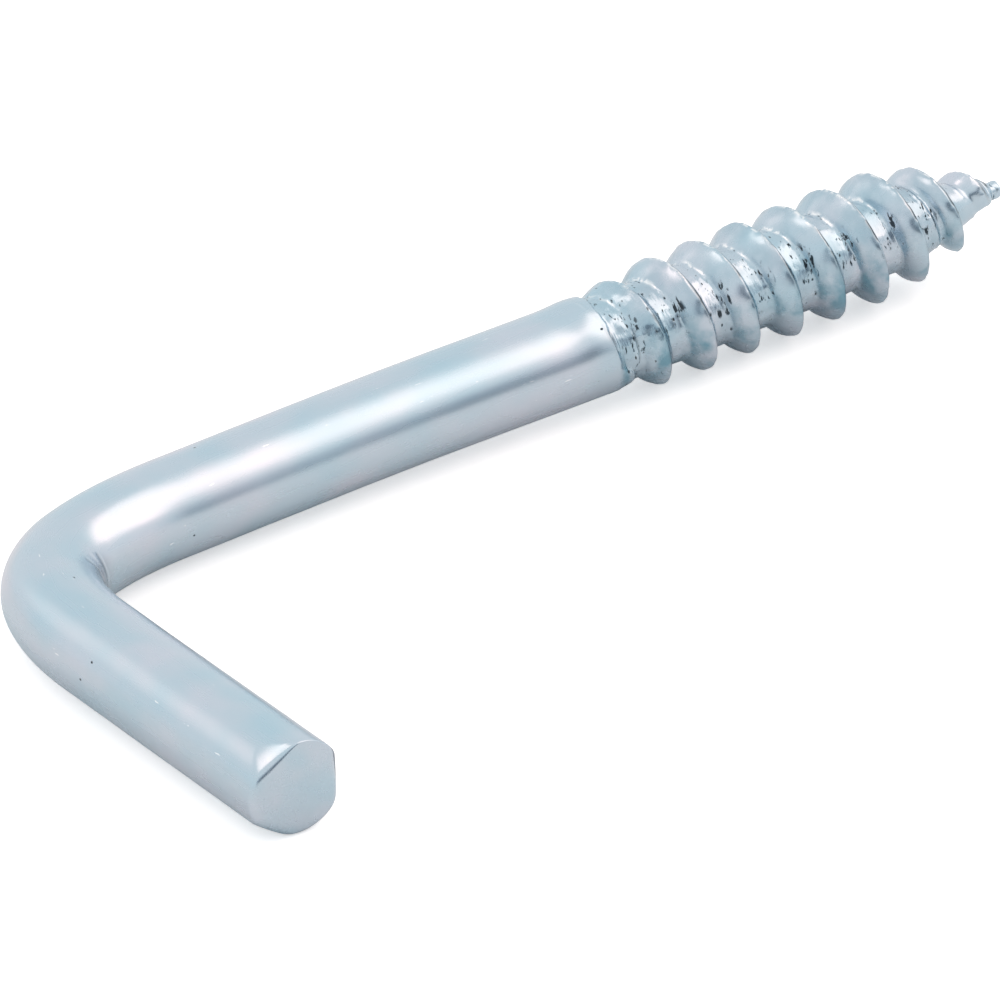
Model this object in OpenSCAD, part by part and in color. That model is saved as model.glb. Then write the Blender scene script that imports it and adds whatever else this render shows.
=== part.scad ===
// Screw-in hinge pin: one length of round wire, bent square, cut off plain at the end of the pin
// and rolled with a wood-screw thread at the end of the shank.
// It lies on its side. The pin points along -Y, the shank along +X and the bend is level.
// The origin is on the pin's axis, at the seat, where the straight pin begins.

/* [Wire] */
// Diameter of the wire, which is the diameter of the pin and of the shank
wire_d = 4.9; // [4.6:0.1:5.6]

/* [Pin] */
// Distance from the shank's axis to the cut end of the pin
pin_reach = 26.8; // [20:0.1:60]
// Rounding of the cut edge
cut_edge_r = 0.9; // [0.2:0.1:1.6]

/* [Bend] */
// Radius of the wire's centre line at the corner
bend_r = 5.3; // [3.5:0.1:10]
// Radius of the centre line where each leg eases into the corner
ease_r = 15.4; // [8:0.1:30]
// Angle that the pin eases through before the corner
pin_ease = 17; // [0.5:0.5:30]
// Angle that the shank eases through after the corner
shank_ease = 21.5; // [0.5:0.5:30]
// Diameter that the wire loses where it is stretched round the corner
corner_thinning = 0.06; // [0.02:0.01:0.3]

/* [Shank] */
// Distance from the pin's axis to the shoulder, where the plain shank ends
shank_l = 33.4; // [28:0.1:60]
// Rounding of the shoulder
shoulder_r = 0.4; // [0.1:0.05:1]

/* [Thread] */
// Distance from the shoulder to the end of the point, without the nib
thread_l = 22.4; // [14:0.1:60]
// Diameter over the crests
crest_d = 6.12; // [5.2:0.02:8]
// Diameter of the core between the ridges
root_d = 4.4; // [3:0.05:4.8]
// Distance from one ridge to the next
pitch = 2.5; // [1.6:0.05:4]
// Width of the crest
crest_w = 0.32; // [0.1:0.02:0.6]
// Width of the plain core between the feet of two ridges
root_w = 0.8; // [0.1:0.02:1]
// Hollow of the flanks: 1 is straight, and a higher number is deeper
flank_hollow = 1.2; // [1:0.1:2.5]
// Distance by which the ridge starts ahead of the shoulder
lead_in = 2.1; // [0.5:0.1:5]
// Length over which the ridge rises to its full height
run_in = 7; // [2:0.1:10]
// Angle round the shank, from +Y towards +Z, at which the ridge passes the shoulder
ridge_turn = 210; // [0:5:355]

/* [Point] */
// Length over which the core narrows to the point
core_taper = 5.6; // [3:0.1:10]
// Length over which the ridge sinks into the core
crest_taper = 2.9; // [2:0.1:8]
// Diameter of the core at the end of its taper
point_d = 1.15; // [0.3:0.05:1.6]
// Diameter of the nib left where the point broke off
nib_d = 0.65; // [0.6:0.05:1.4]
// Length of the nib past the end of the taper
nib_l = 1.25; // [0.8:0.05:2]
// Rounding of the nib's end
nib_edge_r = 0.25; // [0.05:0.05:0.3]

/* [Hidden] */

// Facets round the wire, columns of the thread in one turn, and points up each flank
$fn = 72;
columns = 40;
flank_steps = 3;

// Headings of the centre line, as angles from +X: at the seat, and after each arc of the bend
seat_heading = 90;
corner_heading = seat_heading - pin_ease;
ease_heading = shank_ease;

// Points where the arcs of the bend meet, from the seat at the origin to the shank
corner_start = arc_end([0, 0], seat_heading, ease_r, pin_ease);
corner_end = arc_end(corner_start, corner_heading, bend_r, corner_heading - ease_heading);
shank_start = arc_end(corner_end, ease_heading, ease_r, shank_ease);

// Each arc of the bend runs this far into the thicker stretch before or after it
lap = 0.05;

pin_l = pin_reach - shank_start[1];
point_x = shank_l + thread_l;
ridge_x = shank_l - lead_in;

// The thread starts this far along the shank, buried in it, one turn before the ridge can show
buried_x = ridge_x - 1.5 * pitch;
steps = ceil((point_x - buried_x) / pitch * columns);
// Past the end of the taper the turns close up inside the nib by this factor
close_up = 0.2 * nib_l / pitch;

// The ridge from the middle of one root to the middle of the next: distance along, share of height
flank_w = (pitch - root_w - crest_w) / 2;
rising = [for (i = [0:flank_steps]) let (f = i / flank_steps) [root_w / 2 + flank_w * f, pow(f, flank_hollow)]];
falling = [for (i = [flank_steps:-1:0]) [pitch - rising[i][0], rising[i][1]]];
ridge = concat(rising, falling);

// Where an arc of the centre line ends that starts at p with a heading and turns clockwise
function arc_end(p, heading, r, angle) =
    p + r * [sin(heading) - sin(heading - angle), cos(heading - angle) - cos(heading)];

function share(x, start, length) = max(0, min(1, (x - start) / length));

// Radius of the core and height of the ridge at a distance x along the shank
function core_r(x) = (root_d + (point_d - root_d) * share(x, point_x - core_taper, core_taper)) / 2;
function ridge_h(x) =
    let (rise = share(x, ridge_x, run_in), sink = share(x, point_x - crest_taper, crest_taper))
    (crest_d - root_d) / 2 * rise * rise * (3 - 2 * rise) * (1 - sink * sink);

function past_point(x) = min(x, point_x) + close_up * max(0, x - point_x);

// One point of the thread: j counts the columns along the helix, and k the points across the ridge
function thread_point(j, k) =
    let (turn = j / columns,
         x = buried_x + pitch * turn + ridge[k][0],
         r = core_r(x) + ridge_h(buried_x + pitch * (turn + 0.5)) * ridge[k][1],
         a = ridge_turn + 360 * (turn + 0.5 - (shank_l - buried_x) / pitch))
    [past_point(x), r * cos(a), r * sin(a)];

// A rod along +Z from the origin, with a rounded far end
module rod(d, length, edge_r) {
    rotate_extrude() {
        square([d / 2, length - edge_r]);
        square([d / 2 - edge_r, length]);
        translate([d / 2 - edge_r, length - edge_r]) intersection() {
            circle(r = edge_r);
            square(edge_r);
        }
    }
}

// A stretch of wire bent to the right, from p along a heading, which laps both of its neighbours
module bent_wire(p, heading, r, angle, d) {
    lap_angle = lap / r * 180 / PI;
    translate([p[0] + r * sin(heading), p[1] - r * cos(heading), 0])
        rotate_extrude(start = heading + 90 - angle - lap_angle, angle = angle + 2 * lap_angle)
            translate([r, 0]) circle(d = d);
}

// The thread and its core, one closed skin that winds along +X from inside the shank to the nib
module thread() {
    last = len(ridge);
    // A point past the last one of a column is the first one of the column a whole turn on
    index = function (j, k) k < last ? j * last + k : (j + columns) * last;
    points = [for (j = [0:steps + columns], k = [0:last - 1]) thread_point(j, k)];
    start_axis = len(points);
    end_axis = start_axis + 1;
    end_x = past_point(buried_x + pitch * (steps / columns + 1.5));
    skin = [for (j = [0:steps - 1], k = [0:last - 1], half = [0, 1])
        half == 0 ? [index(j, k), index(j, k + 1), index(j + 1, k + 1)]
                  : [index(j, k), index(j + 1, k + 1), index(j + 1, k)]];
    start_cap = concat(
        [for (j = [0:columns - 1]) [start_axis, index(j, 0), index(j + 1, 0)]],
        [for (k = [0:last - 1]) [start_axis, index(0, k + 1), index(0, k)]]);
    end_cap = concat(
        [for (j = [steps:steps + columns - 1]) [end_axis, index(j + 1, 0), index(j, 0)]],
        [for (k = [0:last - 1]) [end_axis, index(steps, k), index(steps, k + 1)]]);
    polyhedron(concat(points, [[buried_x, 0, 0], [end_x, 0, 0]]), concat(skin, start_cap, end_cap));
}

module hinge_pin() color([0.74, 0.78, 0.81]) {
    rotate([90, 0, 0]) rod(wire_d, pin_l, cut_edge_r);
    bent_wire([0, 0], seat_heading, ease_r, pin_ease, wire_d - corner_thinning / 2);
    bent_wire(corner_start, corner_heading, bend_r, corner_heading - ease_heading, wire_d - corner_thinning);
    bent_wire(corner_end, ease_heading, ease_r, shank_ease, wire_d - corner_thinning / 2);
    translate(concat(shank_start, [0])) rotate([0, 90, 0]) rod(wire_d, shank_l - shank_start[0], shoulder_r);
    translate([0, shank_start[1], 0]) {
        thread();
        translate([point_x - nib_l, 0, 0]) rotate([0, 90, 0]) rod(nib_d, 2 * nib_l, nib_edge_r);
    }
}

hinge_pin();
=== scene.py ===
import math

import bmesh
import bpy
from mathutils import Matrix, Vector, noise


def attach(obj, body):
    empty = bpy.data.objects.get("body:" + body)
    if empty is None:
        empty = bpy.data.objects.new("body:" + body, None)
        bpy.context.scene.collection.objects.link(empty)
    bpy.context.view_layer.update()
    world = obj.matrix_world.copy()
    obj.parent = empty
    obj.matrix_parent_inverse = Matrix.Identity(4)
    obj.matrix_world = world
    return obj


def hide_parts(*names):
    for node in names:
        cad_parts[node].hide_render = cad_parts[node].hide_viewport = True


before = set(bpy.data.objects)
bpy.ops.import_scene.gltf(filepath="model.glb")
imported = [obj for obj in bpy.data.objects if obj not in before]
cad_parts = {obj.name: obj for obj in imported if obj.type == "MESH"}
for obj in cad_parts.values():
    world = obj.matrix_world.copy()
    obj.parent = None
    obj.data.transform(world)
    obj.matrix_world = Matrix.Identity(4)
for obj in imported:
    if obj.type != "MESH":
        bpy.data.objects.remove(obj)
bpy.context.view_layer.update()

MM = 0.001


# ---- The wire ---------------------------------------------------------------------------------
# Low-carbon steel wire, drawn to 4.9 mm and sheared off square. It is drawn here straight, along
# X, with the end of its shank already in place and its plain end running back past the corner. It
# is bent last, as the real one is, after its thread is rolled.
WIRE_R = 2.45 * MM
AROUND = 160
PIN_REACH = 26.8 * MM

# Radius and turn of the three arcs that make the corner, from the pin to the shank. The pin leaves
# the origin square to the shank, so they also say where the shank starts and how high it lies.
PIN_EASE = (15.4 * MM, math.radians(17.0))
CORNER = (5.3 * MM, math.radians(51.5))
SHANK_EASE = (15.4 * MM, math.radians(21.5))
heading = math.radians(90)
SHANK_START_X = 0
SHANK_AXIS_Y = 0
for radius, turn in (PIN_EASE, CORNER, SHANK_EASE):
    SHANK_START_X += radius * (math.sin(heading) - math.sin(heading - turn))
    SHANK_AXIS_Y += radius * (math.cos(heading - turn) - math.cos(heading))
    heading -= turn
CORNER_END_X = SHANK_START_X - SHANK_EASE[0] * SHANK_EASE[1]
CORNER_START_X = CORNER_END_X - CORNER[0] * CORNER[1]
SEAT_X = CORNER_START_X - PIN_EASE[0] * PIN_EASE[1]
CUT_X = SEAT_X - (PIN_REACH - SHANK_AXIS_Y)
WIRE_END_X = 27.4 * MM
CUT_EDGE_R = 0.36 * MM
EDGE_STEPS = 12
FACE_RINGS = 9

# Points nearer than this are in the same place
SAME = 0.0001 * MM


def spaced(start, end, step):
    """Places from start to end, evenly spaced at about this step; the first one is left out."""
    count = max(1, round((end - start) / step))
    return [start + (end - start) * (i + 1) / count for i in range(count)]


bpy.ops.object.select_all(action="DESELECT")
bpy.ops.mesh.primitive_circle_add(vertices=AROUND, radius=WIRE_R, fill_type="NOTHING",
                                  location=(CUT_X, 0, 0), rotation=(0, math.pi / 2, 0))
wire = bpy.context.object
bpy.ops.object.transform_apply(location=True, rotation=True, scale=True)
edge_angles = [math.radians(90 * (i + 1) / EDGE_STEPS) for i in range(EDGE_STEPS)]
rings = ([CUT_X + CUT_EDGE_R * (1 - math.cos(a)) for a in edge_angles]
         + spaced(CUT_X + CUT_EDGE_R, CUT_X + 2 * MM, 0.09 * MM)
         + spaced(CUT_X + 2 * MM, SEAT_X, 0.45 * MM)
         + spaced(SEAT_X, CORNER_START_X, 0.3 * MM)
         + spaced(CORNER_START_X, CORNER_END_X, 0.13 * MM)
         + spaced(CORNER_END_X, SHANK_START_X, 0.3 * MM)
         + spaced(SHANK_START_X, WIRE_END_X, 0.4 * MM))
bpy.ops.object.mode_set(mode="EDIT")
bpy.ops.mesh.select_all(action="SELECT")
ring_x = CUT_X
for next_x in rings:
    bpy.ops.mesh.extrude_region_move(TRANSFORM_OT_translate={"value": (next_x - ring_x, 0, 0)})
    ring_x = next_x

# The cut face: the open end is filled, and inset ring by ring so that it can be uneven.
bpy.ops.mesh.select_all(action="DESELECT")
bpy.ops.object.mode_set(mode="OBJECT")
for v in wire.data.vertices:
    v.select = abs(v.co.x - CUT_X) < SAME
bpy.ops.object.mode_set(mode="EDIT")
bpy.ops.mesh.edge_face_add()
for i in range(FACE_RINGS):
    bpy.ops.mesh.inset(thickness=WIRE_R / (FACE_RINGS + 1), depth=0)
bpy.ops.mesh.poke()
bpy.ops.object.mode_set(mode="OBJECT")


# ---- The thread -------------------------------------------------------------------------------
# A wood-screw thread, rolled into the end of the wire: one right-hand ridge with hollow flanks and
# a thin crest, on a core thinner than the shank. One turn's outline is wound round the axis, and
# takes the true height of the ridge, its run-in and its point once it is joined to the wire.
PITCH = 2.5 * MM
CREST_R = 3.06 * MM
ROOT_R = 2.2 * MM
SHOULDER_X = 33.4 * MM
RIDGE_TURN = math.radians(210)
THREAD_X = SHOULDER_X - PITCH * (RIDGE_TURN / math.tau + 1.5)
TURNS = 12

# Across one turn, from the middle of one root over the ridge to the middle of the next: distance in
# millimetres and share of the ridge's height. The flank towards the point is the steeper one.
RIDGE = (
    (-1.25, 0), (-1.18, 0), (-1.10, 0), (-1.04, 0.005), (-0.99, 0.045), (-0.93, 0.12), (-0.85, 0.235),
    (-0.74, 0.375), (-0.61, 0.525), (-0.48, 0.65), (-0.35, 0.76), (-0.23, 0.855), (-0.13, 0.92),
    (-0.05, 0.965), (0.00, 0.985), (0.04, 0.995), (0.08, 1), (0.12, 0.99), (0.16, 0.95), (0.20, 0.88),
    (0.25, 0.76), (0.32, 0.59), (0.40, 0.40), (0.48, 0.215), (0.55, 0.08), (0.62, 0.015), (0.72, 0),
    (0.90, 0), (1.08, 0), (1.25, 0))
outline = [d * MM for d, share in RIDGE]

bpy.ops.object.select_all(action="DESELECT")
bpy.ops.mesh.primitive_grid_add(x_subdivisions=len(outline) - 1, y_subdivisions=1, size=1)
thread = bpy.context.object
bpy.ops.object.mode_set(mode="EDIT")
bpy.ops.mesh.select_all(action="DESELECT")
bpy.ops.object.mode_set(mode="OBJECT")
rows = sorted(thread.data.vertices, key=lambda v: (v.co.y, v.co.x))
for v in rows[:len(outline)]:
    v.select = True
for v, d in zip(rows[len(outline):], outline):
    v.co = (THREAD_X + PITCH / 2 + d, ROOT_R, 0)
bpy.ops.object.mode_set(mode="EDIT")
bpy.ops.mesh.delete(type="VERT")
bpy.ops.object.mode_set(mode="OBJECT")
bpy.ops.object.modifier_add(type="SCREW")
winding = thread.modifiers[0]
winding.axis = "X"
winding.angle = math.tau
winding.screw_offset = PITCH
winding.iterations = TURNS
winding.steps = AROUND
winding.render_steps = AROUND
winding.use_normal_calculate = False
bpy.ops.object.modifier_apply(modifier=winding.name)
bpy.ops.object.mode_set(mode="EDIT")
bpy.ops.mesh.select_all(action="SELECT")
bpy.ops.mesh.remove_doubles(threshold=0.002 * MM)
bpy.ops.object.mode_set(mode="OBJECT")

# The nib, left where the point broke off.
POINT_X = 55.95 * MM
NIB_X = POINT_X + 0.42 * MM
NIB_L = 0.50 * MM
NIB_R = 0.44 * MM

# Rings of the nib: how far each is past the last one, as a share of the nib's length, and how wide
# it is against the last one
NIB_RINGS = ((0.2, 1), (0.2, 1.02), (0.2, 1.02), (0.17, 1), (0.12, 0.95), (0.08, 0.86), (0.03, 0.8),
             (0.01, 0.6), (0, 0.5))
bpy.ops.object.select_all(action="DESELECT")
bpy.ops.mesh.primitive_circle_add(vertices=AROUND, radius=NIB_R, fill_type="NOTHING",
                                  location=(NIB_X, 0, 0), rotation=(0, math.pi / 2, 0))
nib = bpy.context.object
bpy.ops.object.transform_apply(location=True, rotation=True, scale=True)
bpy.ops.object.mode_set(mode="EDIT")
bpy.ops.mesh.select_all(action="SELECT")
for step, width in NIB_RINGS:
    bpy.ops.mesh.extrude_region_move(TRANSFORM_OT_translate={"value": (step * NIB_L, 0, 0)})
    bpy.ops.transform.resize(value=(1, width, width), center_override=(NIB_X, 0, 0))
bpy.ops.mesh.edge_face_add()
bpy.ops.mesh.poke()
bpy.ops.object.mode_set(mode="OBJECT")


# ---- The hook ---------------------------------------------------------------------------------
# Wire, thread and nib are one length of steel, so the three meshes are joined and the two seams,
# each from a level ring to a thread edge that climbs one pitch, are filled. Every point then takes
# its true radius, and the wire is bent square and bows a little between the bend and the point.
bpy.ops.object.select_all(action="DESELECT")
for length in (nib, thread, wire):
    length.select_set(True)
bpy.context.view_layer.objects.active = wire
bpy.ops.object.join()
hook = bpy.context.object
hook.name = "zinc_plated_hook"


def step_round(v):
    """Which of the steps round the wire a point is on."""
    return round(math.atan2(v.co.z, v.co.y) / math.tau * AROUND) % AROUND


def seam(bm, level_x, climb_x):
    """Fills the gap between the level ring at level_x and the thread's open edge from climb_x."""
    level = {step_round(v): v for v in bm.verts if v.is_boundary and abs(v.co.x - level_x) < SAME}
    edge = [v for v in bm.verts if v.is_boundary and -SAME < v.co.x - climb_x < PITCH + SAME
            and v not in level.values()]
    column = sorted((v for v in edge if step_round(v) == 0), key=lambda v: v.co.x)
    climb = {step_round(v): v for v in edge if v not in column}
    below = level_x < climb_x
    climb[0] = column[0] if below else column[-1]
    for j in range(AROUND):
        k = (j + 1) % AROUND
        if below and k == 0:
            ring = [level[j], level[0], *column, climb[j]]
        elif not below and j == 0:
            ring = [level[0], level[1], climb[1], *column]
        else:
            ring = [level[j], level[k], climb[k], climb[j]]
        bm.faces.new(ring)


def smooth(x, start, end):
    """Soft step from 0 at start to 1 at end."""
    f = min(1.0, max(0.0, (x - start) / (end - start)))
    return f * f * (3 - 2 * f)


bm = bmesh.new()
bm.from_mesh(hook.data)
seam(bm, WIRE_END_X, THREAD_X)
seam(bm, NIB_X, THREAD_X + PITCH * TURNS)

# The shear squeezes three flats on the end: the way that each faces round the wire, in degrees, and
# its depth in millimetres.
SHEAR_FLATS = ((62, 0.34), (182, 0.48), (308, 0.26))
FLAT_L = 1.4 * MM

# The run-in of the ridge, and the point, whose last turns are closed up into the nib
RIDGE_START_X = 31.2 * MM
RUN_IN = 6.6 * MM
CREST_TAPER_X = 52.7 * MM
CREST_END_X = 56.4 * MM
CORE_TAPER_X = 51.15 * MM
CORE_SLOPE = 0.2875
CORE_DROP = 0.17 * MM
POINT_LEAN = 0.2 * MM
CLOSE_UP = 0.19
NIB_BLEND = 2.2 * MM

# Creases inside the bend, then marks of the rolling dies: x and angle where each starts and ends,
# half width, height and how dark the painted shade in it is, in millimetres and degrees. Only the
# dents are shaded.
DIE_MARKS = (
    ((-0.08, 134), (0.51, 176), 0.16, -0.05, 0.25),
    ((1.75, 146), (1.85, 186), 0.14, -0.05, 0.35),
    ((1.15, 140), (1.20, 178), 0.18, 0.03, 0.0),
    ((33.68, 124), (34.17, 147), 0.07, 0.10, 0.0),
    ((33.41, 142), (33.49, 165), 0.06, 0.07, 0.0),
    ((33.30, 140), (33.34, 168), 0.04, -0.05, 0.7),
    ((34.40, 150), (34.50, 192), 0.06, 0.05, 0.0),
    ((34.50, 150), (34.60, 192), 0.04, -0.04, 0.6),
    ((55.30, 40), (55.42, 112), 0.08, -0.06, 1.0),
    ((55.57, 56), (55.60, 116), 0.06, -0.05, 0.9),
    ((55.62, 60), (55.88, 128), 0.05, -0.03, 0.4),
    ((55.99, 40), (56.12, 125), 0.09, -0.05, 1.0),
)


def hump(value, middle, half_w):
    """Soft hump, 1 at its middle."""
    return math.exp(-((value - middle) / half_w) ** 2)


def soft_min(a, b, blend):
    """The smaller of the two, rounded off where they meet."""
    return 0.5 * (a + b) - math.sqrt((0.5 * (a - b)) ** 2 + blend * blend)


def soft_max(a, b, blend):
    """The larger of the two, rounded off where they meet."""
    return 0.5 * (a + b) + math.sqrt((0.5 * (a - b)) ** 2 + blend * blend)


def ridge_share(d):
    """Height of the ridge at a distance d from its middle, as a share of its full height."""
    for (d0, share0), (d1, share1) in zip(RIDGE, RIDGE[1:]):
        if d <= d1 * MM:
            return share0 + (share1 - share0) * max(0.0, d / MM - d0) / (d1 - d0)
    return 0.0


def wandering(p, size, seed=0.0):
    """Soft random height, about -1 to 1, whose patches are of this size."""
    return noise.noise(p / size + Vector((seed, 0, 0)))


def die_marks(x, degrees):
    """Height of the marks at a point, and how dark the painted shade in its dents is."""
    height = 0.0
    dark = 0.0
    for (x0, a0), (x1, a1), half_w, rise, darkness in DIE_MARKS:
        along = (degrees - a0) / (a1 - a0)
        if -0.1 < along < 1.1:
            off = (x / MM - x0 - (x1 - x0) * along) / half_w
            strength = smooth(along, -0.1, 0.15) * (1 - smooth(along, 0.85, 1.1)) * hump(off, 0, 1)
            height += rise * MM * strength
            dark = max(dark, darkness * strength)
    return height, dark


def squeezed(x, angle):
    """Radius of the wire at a distance along its sheared end."""
    r = WIRE_R
    left = max(0.0, 1 - (x - CUT_X) / FLAT_L) ** 1.6
    for facing, depth in SHEAR_FLATS:
        square_on = math.cos(angle - math.radians(facing))
        if left > 0 and square_on > 0.3:
            r = soft_min(r, (WIRE_R - depth * MM * left) / square_on, 0.09 * MM * left)
    return r


def core_radius(x, angle):
    """The core tapers to the point, which leans to one side."""
    straight = ROOT_R - CORE_DROP * smooth(x, 45 * MM, 50 * MM)
    core = soft_min(straight, ROOT_R - CORE_DROP - CORE_SLOPE * (x - CORE_TAPER_X), 0.08 * MM)
    return core + POINT_LEAN * math.cos(angle - math.radians(45)) * smooth(x, 54.8 * MM, POINT_X)


def crest_height(x, left):
    """Full height of the ridge, a little more on its last turns, times the share that is left."""
    late = 0.05 * smooth(x, 40 * MM, 44 * MM)
    late += 0.17 * smooth(x, 46 * MM, 49 * MM) * (1 - smooth(x, 49.8 * MM, 51.2 * MM))
    return (CREST_R - ROOT_R + late * MM) * left


def roughness(p, d, share, rise, root, scuffed):
    """Height that the dies leave on the rim and foot of the ridge, in the root and at the run-in."""
    rim = max(0.0, share - 0.8) * 0.22 * MM * rise
    foot = rise * hump(d, -1.03, 0.05)
    return (scuffed * 0.035 * MM * wandering(p, 0.28 * MM, 15)
            + rim * (wandering(p, 0.8 * MM, 7) + wandering(p, 0.3 * MM, 8))
            + foot * MM * (0.025 + 0.05 * wandering(p, 0.4 * MM, 9))
            + root * 0.02 * MM * (wandering(p, 0.35 * MM) + wandering(p, 0.8 * MM, 3)))


def shoulder_radius(x, degrees, p):
    """The shank, and the wall where the dies' first bite ends it, with a tongue on one side."""
    tongue = 1.1 * hump(degrees, 213, 20) - 0.1
    wall_x = SHOULDER_X + tongue * MM + 0.16 * MM * wandering(p * Vector((0, 1, 1)), 0.5 * MM)
    swell = 0.14 * MM * hump(x, 32.5 * MM, 0.9 * MM) * hump(degrees, 100, 55)
    step = 0.5 * MM * smooth(x, wall_x - 0.12 * MM, wall_x + 0.2 * MM)
    return WIRE_R + swell - step - max(0.0, x - wall_x)


def shape_thread(x, angle, p):
    """Radius at a point of the shank or the thread; then how much of it is scuffed root, torn foot
    and rim fold with painted shade; how stained it is, with painted shade on the ridges' lower near
    side, and how much painted highlight its rims and feet get; and how dark painted shade in a dent is."""
    turn = (x - THREAD_X) / PITCH - angle / math.tau
    off_crest = (turn % 1 - 0.5) * PITCH
    middle_x = x - off_crest
    d = off_crest / MM
    degrees = math.degrees(angle)
    narrow = 1 - 0.3 * smooth(middle_x, 49.5 * MM, 54 * MM) if d < 0 else 1
    share = ridge_share((off_crest + 0.03 * MM * wandering(p, 0.7 * MM, 5)) / narrow)
    sink = min(1.0, max(0.0, (middle_x - CREST_TAPER_X) / (CREST_END_X - CREST_TAPER_X)))
    rise = smooth(middle_x, RIDGE_START_X, RIDGE_START_X + RUN_IN)

    on_thread = smooth(x, SHOULDER_X - 0.2 * MM, SHOULDER_X + 0.4 * MM)
    on_thread *= 1 - smooth(x, 53 * MM, 54.5 * MM)
    scuffed = 0.8 * smooth(x, 33.2 * MM, 33.8 * MM) * (1 - smooth(x, 35.2 * MM, 36.4 * MM))
    root = on_thread * max(scuffed, 1 - share / 0.12, 0.0)
    # A dark line along the rim: faintly all round as a fold seam, and mostly painted shade on the side
    # seen edge-on, around 143 degrees.
    fold_and_rim_shade = hump(d, 0.125, 0.085) * rise * (1 - 0.5 * sink) * (0.12 + 0.88 * hump(degrees, 143, 20))
    torn = on_thread * (1 - smooth(abs(d + 1.1) % 2.5, 0.25, 0.6)) * hump(degrees, 145, 17)
    torn = max(torn, 0.7 * on_thread * (share < 0.3) * hump(degrees, 169, 6))
    wobble = 0.06 * wandering(p, 0.3 * MM, 17)
    # Painted highlight: thin bright lines on the rims and feet of the ridges, on the top side only.
    painted_rim_highlight = rise * (hump(d + wobble, 0.03, 0.055) * hump(degrees, 92, 32)
                   + hump(d + wobble, -0.98, 0.05) * hump(degrees, 85, 28))
    # Stain on the thread, laid on more heavily around 195 degrees as painted shade on the ridges' lower
    # near side.
    stain_and_under_shade = on_thread * (0.3 + 0.7 * min(1, 4 * share) * hump(degrees, 195, 30))

    threaded = core_radius(x, angle) + crest_height(x, rise * (1 - sink * sink)) * share
    threaded += roughness(p, d, share, rise, root, scuffed)
    marks, dark = die_marks(x, degrees) if x > SHOULDER_X - 1 * MM else (0.0, 0.0)
    radius = soft_max(threaded, shoulder_radius(x, degrees, p), 0.03 * MM) + marks
    return radius, (root, torn, fold_and_rim_shade), (stain_and_under_shade, painted_rim_highlight, 0), dark


def sheared_end(x, angle, r):
    """New x and radius of a point on the cut face or its edge."""
    degrees = math.degrees(angle)
    edge_r = CUT_EDGE_R * (1 - 0.1 * math.cos(angle - math.radians(62)))
    edge_r *= 1 - 0.85 * hump(degrees, 112, 38)
    inward = 1 - (x - CUT_X) / CUT_EDGE_R
    x = CUT_X + edge_r * (1 - inward)
    edge = squeezed(x, angle) - edge_r * (1 - math.sqrt(max(0.0, 1 - inward * inward)))
    outer = max(0.0, r / WIRE_R - 0.4) / 0.6
    return x + 0.24 * MM * outer ** 2 * hump(degrees, 130, 48), edge * r / WIRE_R


def on_bend(x):
    """Where the middle of the wire at x is once bent, and the way that its outer side faces."""
    middle = Vector((max(x, SHANK_START_X), SHANK_AXIS_Y, 0))
    outward = Vector((0, 1, 0))
    left = max(0.0, SHANK_START_X - x)
    for radius, angle in (SHANK_EASE, CORNER, PIN_EASE):
        turn = min(left / radius, angle)
        hub = middle - radius * outward
        outward = Matrix.Rotation(turn, 3, "Z") @ outward
        middle = hub + radius * outward
        left -= turn * radius
    return middle + left * (Matrix.Rotation(math.pi / 2, 3, "Z") @ outward), outward


# Attributes for the material: the wire as drawn; its scuffed root, torn foot, and rim fold with painted
# shade; its stain with painted shade on the ridges' lower near side, and the painted highlight on rims
# and feet; where pits can be; and how dark the painted shade in each dent is.
drawn = bm.verts.layers.float_vector.new("drawn")
rolled = bm.verts.layers.float_vector.new("rolled")
stain_shade_and_highlight = bm.verts.layers.float_vector.new("stain_shade_and_highlight")
pitted = bm.verts.layers.float.new("pitted")
dent_shade = bm.verts.layers.float.new("dent_shade")
nib_points = {v for v in bm.verts
              if NIB_X - SAME < v.co.x and math.hypot(v.co.y, v.co.z) < NIB_R * 1.05}
for v in bm.verts:
    x = v.co.x
    angle = math.atan2(v.co.z, v.co.y) % math.tau
    if angle > math.tau - 0.001:
        angle = 0.0
    degrees = math.degrees(angle)
    r = math.hypot(v.co.y, v.co.z)
    way = Vector((0, math.cos(angle), math.sin(angle)))
    if v in nib_points:
        r += (r / NIB_R) * (die_marks(x, degrees)[0] + 0.05 * MM * wandering(v.co, 0.4 * MM, 21))
    elif x > POINT_X:
        past = smooth(x, POINT_X, POINT_X + NIB_BLEND)
        x = POINT_X + CLOSE_UP * (x - POINT_X)
        marks, v[dent_shade] = die_marks(x, degrees)
        r = shape_thread(POINT_X, angle, way)[0]
        r += (NIB_R - r) * past + marks
    elif x > WIRE_END_X + SAME:
        r, v[rolled], v[stain_shade_and_highlight], v[dent_shade] = shape_thread(x, angle, Vector((x, 0, 0)) + way * ROOT_R)
    elif x < CUT_X + CUT_EDGE_R + SAME:
        x, r = sheared_end(x, angle, r)
    elif x < CUT_X + FLAT_L:
        r = squeezed(x, angle)
    elif CORNER_START_X < x < SHANK_START_X:
        marks, v[dent_shade] = die_marks(x, degrees)
        r += marks
    p = Vector((x, 0, 0)) + way * WIRE_R
    r *= 1 + 0.0035 * wandering(p, 3.2 * MM, 11) + 0.0012 * wandering(p, 1.1 * MM, 12)
    in_corner = smooth(x, SEAT_X, CORNER_START_X) * (1 - smooth(x, CORNER_END_X, SHANK_START_X))
    r += 0.05 * MM * in_corner * math.cos(angle)
    v.co = Vector((x, 0, 0)) + way * r
    v[drawn] = v.co
    v[pitted] = smooth(x, CUT_X + 1 * MM, CUT_X + 2 * MM)
    v[pitted] *= 1 - smooth(x, SHOULDER_X - 0.5 * MM, SHOULDER_X)
bmesh.ops.recalc_face_normals(bm, faces=bm.faces)

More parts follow.
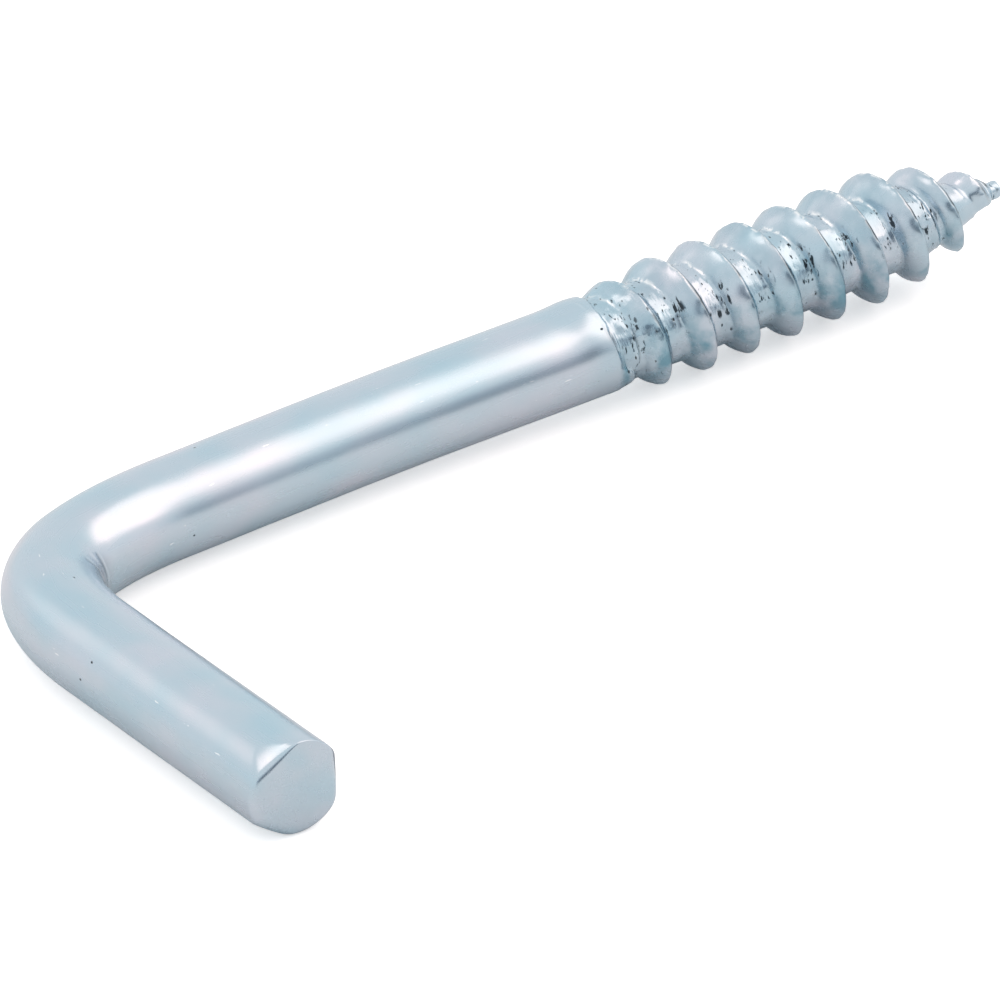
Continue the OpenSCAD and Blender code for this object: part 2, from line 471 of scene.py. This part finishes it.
# The shear leaves the cut a little out of square. The shank bows one way between the bend and the
# thread, and the thread a little the other way.
CUT_TILT = math.tan(math.radians(6))
CUT_LEAN = math.radians(125)
CUT_TILT_L = 4 * MM
BOW = 0.21 * MM
BOW_MIDDLE_X = 21.4 * MM
THREAD_BOW = 0.09 * MM
for v in bm.verts:
    x, y, z = v.co
    leaning = y * math.cos(CUT_LEAN) + z * math.sin(CUT_LEAN)
    x -= CUT_TILT * leaning * (1 - smooth(x, CUT_X, CUT_X + CUT_TILT_L))
    middle, outward = on_bend(x)
    middle.y += BOW * smooth(x, 6 * MM, BOW_MIDDLE_X) * (1 - smooth(x, BOW_MIDDLE_X, SHOULDER_X))
    middle.y -= THREAD_BOW * hump(x, 38.5 * MM, 3.5 * MM)
    v.co = middle + outward * y + Vector((0, 0, z))
bm.to_mesh(hook.data)
bm.free()
for face in hook.data.polygons:
    face.use_smooth = True
bpy.ops.object.select_all(action="DESELECT")
hook.select_set(True)
bpy.context.view_layer.objects.active = hook
bpy.ops.object.transform_apply(location=True, rotation=True, scale=True)

zinc = bpy.data.materials.new("bright zinc plate")
zinc.use_nodes = True
nodes = zinc.node_tree.nodes
links = zinc.node_tree.links
shader = nodes["Principled BSDF"]


def attribute(name):
    node = nodes.new("ShaderNodeAttribute")
    node.attribute_name = name
    return node


def patches(stretch, detail=2.0):
    """Soft random patches on the wire as drawn; stretch says how many there are per millimetre."""
    mapping = nodes.new("ShaderNodeMapping")
    mapping.inputs["Scale"].default_value = [s / MM for s in stretch]
    links.new(wire_place.outputs["Vector"], mapping.inputs["Vector"])
    patch = nodes.new("ShaderNodeTexNoise")
    patch.inputs["Scale"].default_value = 1.0
    patch.inputs["Detail"].default_value = detail
    links.new(mapping.outputs[0], patch.inputs["Vector"])
    return patch.outputs["Fac"]


def ranged(value, low, high, to_low, to_high):
    """The value from low to high, spread from to_low to to_high and held at both ends."""
    node = nodes.new("ShaderNodeMapRange")
    links.new(value, node.inputs["Value"])
    for name, number in (("From Min", low), ("From Max", high), ("To Min", to_low), ("To Max", to_high)):
        node.inputs[name].default_value = number
    return node.outputs[0]


def combined(kind, a, b):
    node = nodes.new("ShaderNodeMath")
    node.operation = kind
    for socket, value in zip(node.inputs, (a, b)):
        if isinstance(value, float):
            socket.default_value = value
        else:
            links.new(value, socket)
    return node.outputs[0]


wire_place = attribute("drawn")
rolled_parts = nodes.new("ShaderNodeSeparateXYZ")
links.new(attribute("rolled").outputs["Vector"], rolled_parts.inputs[0])
# Scuffed root, torn foot, and the rim fold with its painted shade.
in_root, torn_foot, rim_fold_and_shade = rolled_parts.outputs
# How dark the painted shade in each dent is.
dent_shade_mask = attribute("dent_shade").outputs["Fac"]
can_pit = attribute("pitted").outputs["Fac"]
# The stain with its painted shade on the ridges' lower near side, and the painted highlight on the rims
# and feet.
stain_parts = nodes.new("ShaderNodeSeparateXYZ")
links.new(attribute("stain_shade_and_highlight").outputs["Vector"], stain_parts.inputs[0])
stain_and_shade, rim_highlight_mask, _ = stain_parts.outputs

# Colour: the passivation gives faint blue, teal and lilac clouds, and a deeper teal stains the
# thread, laid on more heavily as painted shade on the ridges' lower near side. A painted highlight
# whitens thin lines on the rims and feet of the ridges on the top side, and scratch dashes are
# bright. Pits, flecks and cracks are nearly black, and so is painted shade in the dents and along
# the rims: a faint fold seam all round, and painted shade on the side seen edge-on.
clouds = nodes.new("ShaderNodeValToRGB")
links.new(patches((0.22, 0.35, 0.35)), clouds.inputs["Fac"])
clouds.color_ramp.elements[0].position = 0.3
clouds.color_ramp.elements[0].color = (0.44, 0.60, 0.69, 1)
clouds.color_ramp.elements[1].position = 0.7
clouds.color_ramp.elements[1].color = (0.57, 0.63, 0.71, 1)
middle_cloud = clouds.color_ramp.elements.new(0.5)
middle_cloud.color = (0.505, 0.615, 0.695, 1)


def tinted(factor, colour, tint):
    """The colour, turned into the tint by this factor."""
    node = nodes.new("ShaderNodeMix")
    node.data_type = "RGBA"
    links.new(factor, node.inputs["Factor"])
    links.new(colour, node.inputs["A"])
    node.inputs["B"].default_value = tint
    return node.outputs["Result"]


def cells(stretch, kept, size):
    """Round specks of this size in a random share of the cells of a grid."""
    mapping = nodes.new("ShaderNodeMapping")
    mapping.inputs["Scale"].default_value = [s / MM for s in stretch]
    links.new(wire_place.outputs["Vector"], mapping.inputs["Vector"])
    cell = nodes.new("ShaderNodeTexVoronoi")
    cell.inputs["Scale"].default_value = 1.0
    links.new(mapping.outputs[0], cell.inputs["Vector"])
    chance = nodes.new("ShaderNodeSeparateColor")
    links.new(cell.outputs["Color"], chance.inputs[0])
    speck = ranged(cell.outputs["Distance"], size, size * 1.5, 1.0, 0.0)
    return combined("MULTIPLY", speck, ranged(chance.outputs[0], kept, kept + 0.01, 1.0, 0.0))


# Teal stain on the thread, heavier on the ridges' lower near side as painted shade.
stain_and_under_shade = combined("MULTIPLY", ranged(patches((0.8, 0.6, 0.6), 4.0), 0.42, 0.60, 0.1, 1.0), stain_and_shade)
teal = tinted(stain_and_under_shade, clouds.outputs["Color"], (0.19, 0.36, 0.45, 1))
pits = combined("MULTIPLY", cells((0.55, 0.8, 0.8), 0.4, 0.035), can_pit)
streaks = ranged(patches((6.5, 1.8, 1.8), 6.0), 0.57, 0.61, 0.0, 1.0)
cracks = combined("MULTIPLY", streaks, ranged(torn_foot, 0.15, 0.5, 0.0, 1.0))
flecks = combined("MULTIPLY", ranged(patches((6.0, 2.4, 2.4), 4.0), 0.66, 0.69, 0.0, 1.0), in_root)
# The rim line, broken up: partly a fold seam, mostly painted shade on the side seen edge-on.
broken_fold_and_shade = combined("MULTIPLY", rim_fold_and_shade, ranged(patches((0.5, 0.8, 0.8)), 0.38, 0.46, 0.1, 1.0))
marks = broken_fold_and_shade
for kind in (pits, flecks, cracks, dent_shade_mask):
    marks = combined("MAXIMUM", marks, kind)
dashes = combined("MULTIPLY", ranged(patches((1.1, 5, 5)), 0.745, 0.765, 0.0, 0.7), can_pit)
# Painted highlight on the rims and feet of the ridges, top side only, broken up; with the bright scratch
# dashes it turns the colour nearly white.
painted_rim_highlight = combined("MULTIPLY", rim_highlight_mask, ranged(patches((2.0, 2.6, 2.6), 3.0), 0.45, 0.52, 0.0, 1.0))
bright = tinted(combined("MAXIMUM", painted_rim_highlight, dashes), teal, (0.90, 0.94, 0.96, 1))
# Nearly black for pits, flecks and cracks, and for painted shade in the dents and along the rims.
marked = tinted(combined("MULTIPLY", marks, 0.95), bright, (0.02, 0.03, 0.038, 1))
links.new(marked, shader.inputs["Base Color"])
shader.inputs["Metallic"].default_value = 1.0

# Gloss: satin along the drawn wire, patchy where the dies have torn it.
satin = ranged(patches((0.2, 1.5, 1.5)), 0.3, 0.7, 0.25, 0.29)
torn = combined("MULTIPLY", ranged(patches((2, 2, 2)), 0.35, 0.65, -0.08, 0.04), in_root)
links.new(combined("ADD", satin, torn), shader.inputs["Roughness"])

# Relief: fine draw lines, pits, and the torn root of the thread.
draw_lines = combined("MULTIPLY", patches((0.15, 4, 4), 1.0), 0.018)
scratches = combined("MULTIPLY", stain_and_shade, combined("ADD", combined("MULTIPLY", in_root, 1.6), 0.12))
torn_root = combined("MULTIPLY", patches((4.0, 1.6, 1.6), 3.0), scratches)
relief = combined("ADD", draw_lines, combined("SUBTRACT", torn_root, combined("MULTIPLY", marks, 0.5)))
bump = nodes.new("ShaderNodeBump")
bump.inputs["Distance"].default_value = 0.05 * MM
links.new(relief, bump.inputs["Height"])
links.new(bump.outputs["Normal"], shader.inputs["Normal"])
hook.data.materials.clear()
hook.data.materials.append(zinc)

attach(hook, "root")
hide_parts("hinge_pin")


# ---- The table --------------------------------------------------------------------------------
# A white sheet that the hook lies on, touching the wire and the first full turn of the thread. The
# camera sees it whiter than it is lit, and it keeps the soft shadow under the wire.
CREST_TOUCH_X = 37.5 * MM
WHITER = 0.5
FLOOR_TILT = math.atan((CREST_R - WIRE_R) / CREST_TOUCH_X)
bpy.ops.object.select_all(action="DESELECT")
bpy.ops.mesh.primitive_plane_add(size=6, location=(0, 0, -WIRE_R - 0.02 * MM),
                                 rotation=(0, FLOOR_TILT, 0))
floor = bpy.context.object
floor.name = "white_table"
paper = bpy.data.materials.new("white paper")
paper.use_nodes = True
nodes = paper.node_tree.nodes
links = paper.node_tree.links
shader = nodes["Principled BSDF"]
shader.inputs["Base Color"].default_value = (0.86, 0.86, 0.86, 1)
shader.inputs["Roughness"].default_value = 1
shader.inputs["Specular IOR Level"].default_value = 0
shader.inputs["Emission Color"].default_value = (1, 1, 1, 1)
ray = nodes.new("ShaderNodeLightPath")
links.new(combined("MULTIPLY", ray.outputs["Is Camera Ray"], WHITER), shader.inputs["Emission Strength"])
floor.data.materials.append(paper)


# ---- Light ------------------------------------------------------------------------------------
# A white room that is darker and a little bluer low down in front, and three soft boxes with warm
# light: a large one up on the right, a small one high on the left, and a faint small one behind.
ROOM = 0.98
DARK_ROOM = 0.2
world = bpy.data.worlds.new("white room")
bpy.context.scene.world = world
world.use_nodes = True
nodes = world.node_tree.nodes
links = world.node_tree.links
background = nodes["Background"]
way = nodes.new("ShaderNodeTexCoord")
ahead = nodes.new("ShaderNodeVectorMath")
ahead.operation = "DOT_PRODUCT"
links.new(way.outputs["Generated"], ahead.inputs[0])
ahead.inputs[1].default_value = (-0.1, -0.995, 0)
front = ranged(ahead.outputs["Value"], 0.74, 0.9, 0.0, 1.0)
up = nodes.new("ShaderNodeSeparateXYZ")
links.new(way.outputs["Generated"], up.inputs[0])
low = ranged(up.outputs["Z"], 0.5, 0.3, 0.0, 1.0)
for edge in (front, low):
    edge.node.interpolation_type = "SMOOTHSTEP"
dark = combined("MULTIPLY", front, low)
room = ranged(dark, 0.0, 1.0, ROOM, DARK_ROOM)
tint = nodes.new("ShaderNodeMix")
tint.data_type = "RGBA"
links.new(dark, tint.inputs["Factor"])
tint.inputs["A"].default_value = (1, 1, 1, 1)
tint.inputs["B"].default_value = (0.85, 1, 1.2, 1)
links.new(tint.outputs["Result"], background.inputs["Color"])
ray = nodes.new("ShaderNodeLightPath")
links.new(combined("MAXIMUM", room, ray.outputs["Is Camera Ray"]), background.inputs["Strength"])

hook_middle = Vector((25 * MM, -3 * MM, 0))
BOX_AWAY = 0.7
WARM = (1, 0.68, 0.56)

# Side, heading and height in degrees, width, depth and brightness
SOFT_BOXES = (
    ("right", 116, 43.5, 0.66, 0.57, 1.12),
    ("left", -66, 68, 0.27, 0.27, 1.3),
    ("back", -28, 27, 0.24, 0.26, 0.3),
)
for side, heading, height, width, depth, brightness in SOFT_BOXES:
    heading, height = math.radians(heading), math.radians(height)
    box_way = Vector((math.sin(heading) * math.cos(height), math.cos(heading) * math.cos(height),
                      math.sin(height)))
    bpy.ops.object.light_add(type="AREA", location=hook_middle + BOX_AWAY * box_way)
    soft_box = bpy.context.object
    soft_box.name = side + " soft box"
    soft_box.rotation_euler = box_way.to_track_quat("Z", "Y").to_euler()
    soft_box.data.shape = "RECTANGLE"
    soft_box.data.size = width
    soft_box.data.size_y = depth
    soft_box.data.energy = brightness * math.pi * width * depth
    soft_box.data.color = WARM


# ---- Camera -----------------------------------------------------------------------------------
# A long lens that looks down on the hook from the side of the pin, aimed to the right of the corner
# and a little above it, and rolled a little clockwise.
CAMERA_HEADING = math.radians(-29.7498)
CAMERA_HEIGHT = math.radians(28.3477)
CAMERA_ROLL = math.radians(-6.2172)
CAMERA_AWAY = 612.5 * MM
AIM_RIGHT = 23.504 * MM
AIM_UP = 3.541 * MM
corner = Vector((0, SHANK_AXIS_Y, 0))
level = Vector((math.cos(CAMERA_HEADING), math.sin(CAMERA_HEADING), 0))
camera_back = Vector((math.sin(CAMERA_HEADING) * math.cos(CAMERA_HEIGHT),
                      -math.cos(CAMERA_HEADING) * math.cos(CAMERA_HEIGHT), math.sin(CAMERA_HEIGHT)))
camera_right = Matrix.Rotation(CAMERA_ROLL, 3, camera_back) @ level
camera_up = camera_back.cross(camera_right)
bpy.ops.object.camera_add(location=corner + AIM_RIGHT * camera_right + AIM_UP * camera_up
                          + CAMERA_AWAY * camera_back)
camera = bpy.context.object
camera.matrix_world = Matrix.Translation(camera.location) @ Matrix(
    (camera_right, camera_up, camera_back)).transposed().to_4x4()
camera.data.sensor_width = 36
camera.data.lens = 472.4
camera.data.clip_start = 0.01
camera.data.clip_end = 20
bpy.context.scene.camera = camera

bpy.context.scene.view_settings.view_transform = "Standard"
